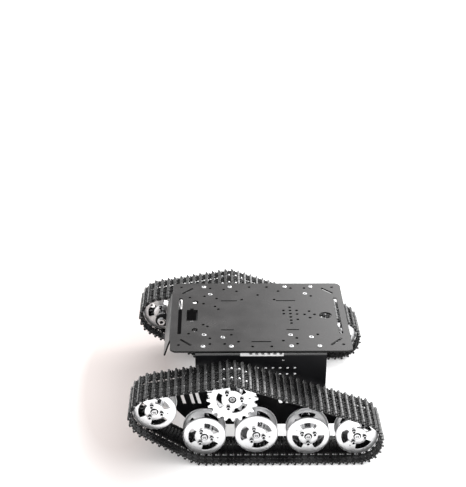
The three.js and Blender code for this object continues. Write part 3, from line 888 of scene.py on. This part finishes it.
def sprocket(hand, side):
    """A pair of toothed discs, their hub and shaft."""
    body = f"{hand}_sprocket"
    centre = joint_at[body]
    half_plate = SPROCKET_PLATE / 2
    turn = SPROCKET_TURN[hand]
    for part, out, degrees in (("outer", side, turn), ("inner", -side, 180 - turn - SPROCKET_OFFSET)):
        place = facing(out, centre.x, centre.y + out * (SPROCKET_FACE - half_plate), centre.z)
        # Local X points along -X on a disc that faces +Y, so its angles run the other way.
        tooth = FIRST_TOOTH if out < 0 else pi - FIRST_TOOTH
        mesh = sprocket_disc_mesh(tooth - radians(degrees), part == "inner")
        mesh.transform(turned_by(degrees))
        piece(f"{body}_{part}_plate", mesh, [turned_aluminium], body,
              [f"{body}_{part}_disc"], place)
        screws = disc_screws_mesh(degrees, half_plate, SPROCKET_SCREW_CIRCLE, SPROCKET_SCREW_HEIGHT)
        piece(f"{body}_{part}_screws", screws, screw_finishes, body, (), place)
    middle = facing(side, *centre)
    piece(f"{body}_shaft", shaft_mesh(), [bright_steel, recess_painted_shade, dark_steel_and_painted_shade], body,
          [f"{hand}_drive_shaft"], middle)
    hub = hub_mesh(2 * (SPROCKET_FACE - SPROCKET_PLATE))
    piece(f"{body}_hub_sleeve", hub, [milled_aluminium], body, (), middle)


# ---- motors

GEARBOX_NOSE = 2.0


def gearbox_mesh():
    """A round gearbox along Z, its front plate at Z 0."""
    made = Solid()
    case = ((15.9, -24.0), (16.5, -23.6), (16.5, -3.4), (16.2, -3.3), (16.2, -2.9), (16.5, -2.8),
            (16.5, -0.3), (16.2, 0), (6.2, 0), (6.0, 0.2), (6.0, 1.7), (5.7, GEARBOX_NOSE),
            (3.3, GEARBOX_NOSE), (3.3, 0.6))
    made.turned(case, 64)
    for k in range(6):
        cap_screw(made, turned_by(30 + 60 * k) @ Matrix.Translation((13.2, 0, 0)), 1.6, 0.9, 1.4)
    return made.mesh("gearbox")


def motor_mesh():
    """A motor can along Z, its top at Z 0, with two solder tags."""
    made = Solid()
    can = ((15.0, 0), (15.0, -1.0), (14.85, -1.1), (14.85, -39.6), (14.5, -41.0), (13.4, -42.0),
           (12.2, -42.2), (11.6, -41.6), (6.0, -41.6), (5.6, -42.3), (5.2, -45.2), (4.4, -45.8),
           (1.2, -45.8))
    made.turned(can, 56)
    for middle in (-8, 8):
        made.plate([rounded(rectangle(middle, 0, 2.4, 0.7), 0.2, 2)], -45.0, -41.0, 0.1)
    return made.mesh("motor")


def motor(hand, side):
    """A gearmotor fixed inside the hull wall."""
    # On the gearbox's screws the third finish paints the sides of the heads dark as shade, and the
    # second paints their sockets dark as shade.
    gearbox_finishes = [brass_case, recess_painted_shade, dark_steel_and_painted_shade]
    for node, part, mesh, finishes, material_slot, nose in (
            ("gearbox", "case", gearbox_mesh(), gearbox_finishes, "gearbox_metal", GEARBOX_NOSE),
            ("motor", "can", motor_mesh(), [zinc_can], "motor_can", 0)):
        low, high = (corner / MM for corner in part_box(f"{hand}_{node}"))
        face_y = (high.y if side > 0 else low.y) - side * nose
        place = facing(side, (low.x + high.x) / 2, face_y, (low.z + high.z) / 2)
        piece(f"{hand}_{node}_{part}", mesh, finishes, "root",
              [f"{hand}_{node}"], place)


# ---- deck

SCREW_HOLES = [(sx * x, sy * 73) for x in (34.5, 67) for sx in (-1, 1) for sy in (-1, 1)]
EYELETS = [(-59, 54), (-66, -46), (-44, -52), (59, 55), (35, -47), (59, -52)]
SMALL_HOLES = [
    (-95, 73), (-59, 70), (-84, 46), (-66, 49), (-67, 30), (-53, 23), (-49, 16), (-51, 43), (-95, -69),
    (-84, -43), (-67, -22), (-62, -26), (-59, -67), (-42, -67), (-34, -46), (42, 70), (59, 70),
    (94, 72), (66, 49), (61, 10), (55, 2), (67, 2), (61, -6), (38, 20), (30, 12), (38, 12), (46, 12),
    (38, 4), (30, 4), (46, 3), (38, -4), (38, -12), (46, -10), (38, -19), (67, -46), (93, -56),
    (95, -69), (42, -67), (-10, -73), (12, -73), (-59, -54), (42, -54), (-42, 67), (-10, 73), (12, 73),
    (26, 62), (-26, 62), (-26, -62), (26, -60), (-20, 40), (20, 40), (0, 52),
]


# Narrow slits along X: from, to, Y and width
DECK_SLITS = ((22, 46, 37, 1.5), (31, 46, -34.5, 1.5), (-11, 12, -62, 1.6), (-46, -26, 37, 1.5),
              (-46, -31, -34.5, 1.5))


def deck_mesh():
    """The deck plate with the lip that is bent down at its rear edge."""
    half_x, half_y, corner = 105.0, 83.3, 8.0
    outline = []
    for quarter, (x_sign, y_sign) in enumerate(((1, 1), (-1, 1), (-1, -1), (1, -1))):
        outline += arc(x_sign * (half_x - corner), y_sign * (half_y - corner), corner,
                       quarter * pi / 2, (quarter + 1) * pi / 2, 10)
    loops = [outline]
    loops += [slot(end * 95, -44, end * 95, 44, 4.2) for end in (-1, 1)]
    for end in (-1, 1):
        loops += [slot(end * 93.5, side * 56, end * 80.5, side * 70, 2.7) for side in (-1, 1)]
    loops += [slot(x1, y, x2, y, width) for x1, x2, y, width in DECK_SLITS]
    loops += [circle(7.4, 80, 0, 48), circle(3.6, -77, 34, 28), circle(3.6, -77, -34, 28)]
    switch = [(-87, -12), (-82.2, -12), (-82.2, -14.4), (-78.6, -14.4), (-78.6, -12), (-74, -12),
              (-74, 14), (-79, 14), (-79, 17.6), (-83, 17.6), (-83, 14), (-87, 14)]
    loops.append(rounded(switch, 0.5, 3))
    loops += [circle(1.65, x, y, 18) for x, y in SMALL_HOLES]
    loops += [circle(1.7, x, y, 18) for x, y in EYELETS]
    plate = Solid()
    plate.plate(loops, -SHEET, 0, 0.25)

    # The lip: a bend of small radius, then a straight run down to its rounded tip
    lean = atan2(8.0, 19.6)
    bend = 2.6
    centre = (-half_x + 0.6, -SHEET - 0.9)
    swing = pi / 2 - lean
    outer = [Vector((centre[0] + bend * cos(a), centre[1] + (bend + 0.3) * sin(a)))
             for a in [pi / 2 + swing * k / 6 for k in range(7)]]
    down = Vector((-sin(lean), -cos(lean)))
    right = Vector((cos(lean), -sin(lean)))
    tip = Vector((-half_x - 7.9, -19.4))
    root_x = -half_x + 2.5
    section = [(root_x, 0), *outer, tip, tip + down * 1.1 + right * 0.7,
               tip + down * 1.1 + right * (SHEET - 0.7), tip + right * SHEET,
               outer[-1] + right * SHEET, (root_x, -SHEET)]
    lip = across(section, -58.5, 58.5, 0.25)
    for solid in (plate, lip):
        solid.points = [p + Vector((DECK_X, 0, DECK_TOP)) for p in solid.points]
    whole = combined(plate.mesh("deck"), [lip.mesh("lip")], "UNION")
    # Upright faces, the plate's edges and the walls of its holes, take a darker copy of the coat:
    # painted shade. Upright faces on the lip take a slightly darker, duller copy: painted shade.
    for polygon in whole.polygons:
        is_upright = abs(polygon.normal.z) < 0.85
        is_at_rear = polygon.center.x / MM < DECK_X - half_x + 2
        is_on_lip = is_at_rear and abs(polygon.normal.y) < 0.5
        polygon.material_index = (2 if is_on_lip else 1) if is_upright else 0
    return whole


def deck_fixings():
    """Screws along both long edges and eyelets in some of the holes."""
    screws, eyelets = Solid(), Solid()
    for k, (x, y) in enumerate(SCREW_HOLES):
        button_screw(screws, Matrix.Translation((DECK_X + x, y, DECK_TOP)) @ turned_by(17 * k))
    profile = ((1.35, -1.5), (1.35, 0.35), (1.5, 0.5), (2.3, 0.5), (2.6, 0.3), (2.65, -0.02),
               (1.68, -0.05), (1.66, -1.5))
    for x, y in EYELETS:
        eyelets.turned(profile, 28, Matrix.Translation((DECK_X + x, y, DECK_TOP)), hollow=True)
    piece("deck_screws", screws.mesh("deck_screws"), [bright_steel, recess_painted_shade], "root")
    piece("deck_eyelets", eyelets.mesh("deck_eyelets"), [bright_steel], "root")


# ---- hull

HULL_REAR, HULL_FRONT, HULL_BOTTOM = -69.2, 81.1, 17.3
HULL_BEND = 4.0
WINDOW_LEFT, WINDOW_RIGHT = -18.2, 32.0
WINDOW_FOOT, WINDOW_HEAD = 109.3, 113.2
WINDOW_TEETH, TOOTH_WIDTH, TOOTH_FOOT = 6, 3.2, 111.9
VENT_FEET = (-82, -71.5, -64.3, 30.1, 38.2, 46.3)
VENT_LOW, VENT_HIGH, VENT_WIDTH, VENT_LEAN = 45.2, 64, 4.0, 0.26
WALL_HOLES = [(x, 93.7) for x in (2.3, 11.5, 19.8, 28.1, 36.8, 45.1)]
WALL_HOLES += [(x, 85.6) for x in (20.6, 28, 36.2, 45.2)] + [(31.4, 104.1)]


def hull_side():
    """The hull's outline seen from the side, as (X, Z) points."""
    idler, front = joint_at["right_rear_idler"], joint_at["right_front_idler"]
    around_idler = arc(idler.x, idler.z, 8, pi * 0.6, pi * 1.5, 14)
    nose = arc(front.x, front.z, front.z - HULL_BOTTOM, -pi / 2, pi * 0.42, 18)
    return [(HULL_REAR, HULL_TOP + 5), (HULL_REAR, 86), *around_idler, (-108, idler.z - 8),
            (-74, HULL_BOTTOM), *nose, (HULL_FRONT, 66), (HULL_FRONT, HULL_TOP + 5)]


def comb_outline(high, margin):
    """The long window with its teeth as an (X, Z) loop, or what fits in it."""
    left, right = WINDOW_LEFT + margin, WINDOW_RIGHT - margin
    low, foot = WINDOW_FOOT + margin, TOOTH_FOOT - margin
    half = TOOTH_WIDTH / 2 + margin
    step = (WINDOW_RIGHT - WINDOW_LEFT) * 0.82 / WINDOW_TEETH
    comb = [(left, low), (right, low), (right, high)]
    for k in range(WINDOW_TEETH):
        x = WINDOW_RIGHT - (k + 0.5) * step
        comb += [(x + half, high), (x + half, foot), (x - half, foot), (x - half, high)]
    return [*comb, (left, high)]


def upside_down_u(inset):
    """The hull's outer skin in section, or a skin inside it."""
    corner = arc(HULL_HALF - HULL_BEND, HULL_TOP - HULL_BEND, HULL_BEND - inset, 0, pi / 2, 8)
    half = [Vector((HULL_HALF - inset, 0)), *corner]
    return half + [Vector((-p.x, p.y)) for p in reversed(half)]


def hull_mesh():
    """One folded sheet, cut to its side outline and pierced."""
    shell = Solid()
    shell.plate([upside_down_u(0) + upside_down_u(SHEET)[::-1]], -150, 150)
    shell.points = [p.zxy for p in shell.points]
    cut = combined(shell.mesh("shell"), [across(hull_side(), -100, 100).mesh("side")], "INTERSECT")

    reach = HULL_HALF + 5
    axes = [joint_at[f"right_{name}"] for name in WHEELS]
    openings = [circle(3.3, axis.x, axis.z, 28) for axis in axes]
    sprocket_at = joint_at["right_sprocket"]
    openings.append(circle(6.5, sprocket_at.x, sprocket_at.z, 36))
    half = VENT_WIDTH / 2
    for foot in VENT_FEET:
        head = foot - VENT_LEAN * (VENT_HIGH - VENT_LOW)
        openings.append(rounded([(foot - half, VENT_LOW), (foot + half, VENT_LOW),
                                 (head + half, VENT_HIGH), (head - half, VENT_HIGH)], 0.8, 3))
    openings += [circle(1.6, x, z, 18) for x, z in WALL_HOLES]
    cutters = [across(opening, -reach, reach) for opening in openings]

    # A long window under the deck, its upper edge toothed
    for side in (-1, 1):
        near, far = sorted((side * (HULL_HALF - 3.2), side * reach))
        cutters.append(across(comb_outline(HULL_TOP + 1, 0), near, far))
    pierced = combined(cut, [solid.mesh("cutter") for solid in cutters], "DIFFERENCE")
    whole = bevelled(pierced, 0.22)
    # Faces on the upper bend take a lighter, glossier copy of the coat: a painted highlight along the
    # bend.
    for polygon in whole.polygons:
        leans = abs(polygon.normal.y) > 0.2 < polygon.normal.z
        is_on_bend = leans and polygon.center.z / MM > HULL_TOP - HULL_BEND
        polygon.material_index = 1 if is_on_bend else 0
    return whole


# ---- build

piece("deck", deck_mesh(), [deck_coat, deck_edge_painted_shade, lip_painted_shade], "root", ["deck_plate"],
      angle=30, is_sheet=True)
deck_fixings()
piece("hull_shell", hull_mesh(), [hull_coat, bend_painted_highlight], "root", ["hull"], angle=30,
      is_sheet=True)
for hand, side in SIDES.items():
    # A pale strip shows in the long window, notched for the window's teeth
    near, far = sorted(side * (HULL_HALF - depth) for depth in (0.9, 2.1))
    strip = across(comb_outline(WINDOW_HEAD, 0.15), near, far).mesh("strip")
    piece(f"{hand}_window_strip", strip, [pale_strip], "root")

one_link = link_mesh()
one_disc = wheel_disc_mesh()
for hand, side in SIDES.items():
    track_piece(hand, side, one_link)
    for wheel_name in WHEELS:
        wheel(hand, side, wheel_name, one_disc)
    sprocket(hand, side)
    motor(hand, side)

# ---- floor, light and camera

FLOOR_SIZE = 12000.0
# Middle of the warm shadow painted on the floor, in metres
WARM_PAINTED_SHADOW = (-0.16, 0.016, 0)
WALL_LIGHT = 1.0
OVERHEAD_LIGHT = 1.35
PANEL_LIGHT = (0.0, 5.5)


def floor():
    """A wide pale floor, a little warmer and darker to the left, where a soft shadow is painted on it.
    """
    made = Solid()
    made.add(lifted(rectangle(0, 0, FLOOR_SIZE, FLOOR_SIZE), 0), [(0, 1, 2, 3)])
    paper, tree, shader, place = material("floor_paper", Roughness=0.9, Specular_IOR_Level=0.0,
                                          Emission_Strength=0.25)
    # A warm, darker patch left of the machine: a painted shadow, in the colour and in the glow
    patch = {0: stretched(tree, place, 1, 0.32, 1), 1: WARM_PAINTED_SHADOW}
    from_painted_shadow = add_node(tree, "VectorMath", patch, operation="DISTANCE")
    share = remapped(tree, from_painted_shadow.outputs["Value"], 0.05, 0.11, 1, 0)
    tone = mixed(tree, share, (0.9, 0.9, 0.9, 1), (0.56, 0.51, 0.495, 1))
    tree.links.new(tone, shader.inputs["Base Color"])
    tree.links.new(tone, shader.inputs["Emission Color"])
    new_object("floor", shaded(made.mesh("floor"), [paper]))


def softbox(name, place, target, width, height, power):
    """A rectangular lamp aimed at a point, its places in metres."""
    lamp = bpy.data.lights.new(name, "AREA")
    lamp.shape = "RECTANGLE"
    lamp.size, lamp.size_y = width, height
    lamp.energy = power
    made = new_object(name, lamp)
    made.location = place
    made.rotation_euler = (Vector(target) - Vector(place)).to_track_quat("-Z", "Y").to_euler()


def studio():
    """A white studio, with a strong panel behind and to the right."""
    world = bpy.data.worlds.new("studio")
    scene.world = world
    world.use_nodes = True
    tree = world.node_tree
    direction = add_node(tree, "TexCoord").outputs["Generated"]
    split = add_node(tree, "SeparateXYZ", {"Vector": direction})
    overhead = remapped(tree, split.outputs["Z"], 0.62, 0.86, WALL_LIGHT, OVERHEAD_LIGHT)
    behind = remapped(tree, split.outputs["Y"], -0.6, 0.3, 0, 1)
    low_enough = remapped(tree, split.outputs["Z"], 0.62, 0.86, 1, 0)
    high_enough = remapped(tree, split.outputs["Z"], 0.2, 0.4, 0, 1)
    rising = remapped(tree, split.outputs["X"], 0.03, 0.2, *PANEL_LIGHT)
    band = calculated(tree, "MULTIPLY", low_enough, high_enough)
    panel = calculated(tree, "MULTIPLY", calculated(tree, "MULTIPLY", behind, band), rising)
    shader = tree.nodes["Background"]
    shader.inputs["Color"].default_value = (1, 1, 1, 1)
    tree.links.new(calculated(tree, "ADD", overhead, panel), shader.inputs["Strength"])


def camera():
    """The photograph's view."""
    eye = Vector((-46.96, -1225.63, 800.56))
    yaw, drop, roll = (radians(a) for a in (1.013, 25.621, 0.263))
    ahead = Vector((sin(yaw) * cos(drop), cos(yaw) * cos(drop), -sin(drop)))
    right = Vector((cos(yaw), -sin(yaw), 0))
    up = right.cross(ahead)
    right, up = (cos(roll) * right + sin(roll) * up,
                 -sin(roll) * right + cos(roll) * up)
    lens = bpy.data.cameras.new("camera")
    lens.sensor_width = 36
    lens.lens = 86.12
    lens.clip_start, lens.clip_end = 0.05, 60
    place = Matrix((right, up, -ahead)).transposed().to_4x4()
    place.translation = eye
    scene.camera = new_object("camera", lens, place)


floor()
studio()
softbox("key_right", (1.3, 0.9, 1.1), (0.05, 0, 0.06), 0.7, 0.7, 10)
softbox("strip_front", (0.08, -1.5, 1.6), (0.02, 0, 0.1), 1.8, 0.3, 5)
scene.view_settings.view_transform = "Standard"
camera()

for material_node in bpy.data.materials:
    if material_node.users == 0:
        bpy.data.materials.remove(material_node)
